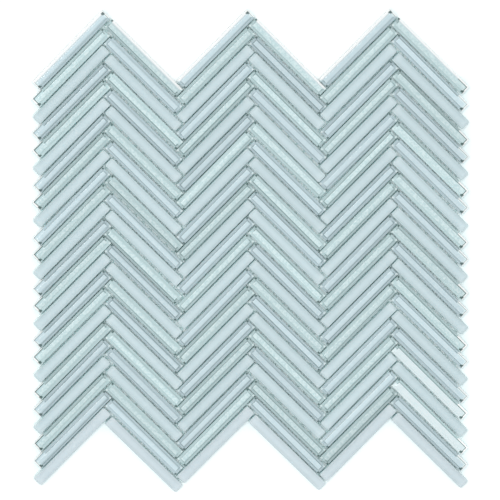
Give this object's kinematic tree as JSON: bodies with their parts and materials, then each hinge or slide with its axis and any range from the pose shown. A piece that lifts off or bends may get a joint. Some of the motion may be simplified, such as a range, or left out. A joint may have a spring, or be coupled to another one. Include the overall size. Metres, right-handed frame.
{
  "type": "herringbone glass mosaic tile",
  "caption": "Net-backed glass mosaic sheet of slim clear, shimmer and frosted bars in a herringbone; its zigzag ends and toothed sides mesh with the next sheet on a wall.",
  "frame": {"origin": "under the middle of the sheet, on the plane that its net lies on", "axes": "+X across the columns, from the rising bars at the left edge to the falling bars at the right, +Y up the columns, +Z out of the glass face"},
  "size_m": [0.2864, 0.3172, 0.0065],
  "materials": {
    "clear_glass": "polished",
    "shimmer_glass": "gloss",
    "frosted_glass": "matte",
    "net_yarn": "matte"
  },
  "bodies": {
    "root": {"column_1_clear_sticks": "clear_glass", "column_1_shimmer_sticks": "shimmer_glass", "column_1_frosted_sticks": "frosted_glass", "column_2_clear_sticks": "clear_glass", "column_2_shimmer_sticks": "shimmer_glass", "column_2_frosted_sticks": "frosted_glass", "column_3_clear_sticks": "clear_glass", "column_3_shimmer_sticks": "shimmer_glass", "column_3_frosted_sticks": "frosted_glass", "column_4_clear_sticks": "clear_glass", "column_4_shimmer_sticks": "shimmer_glass", "column_4_frosted_sticks": "frosted_glass", "column_5_clear_sticks": "clear_glass", "column_5_shimmer_sticks": "shimmer_glass", "column_5_frosted_sticks": "frosted_glass", "column_6_clear_sticks": "clear_glass", "column_6_shimmer_sticks": "shimmer_glass", "column_6_frosted_sticks": "frosted_glass", "net_weft_yarns": "net_yarn", "net_warp_yarns": "net_yarn"}
  },
  "joints": []
}
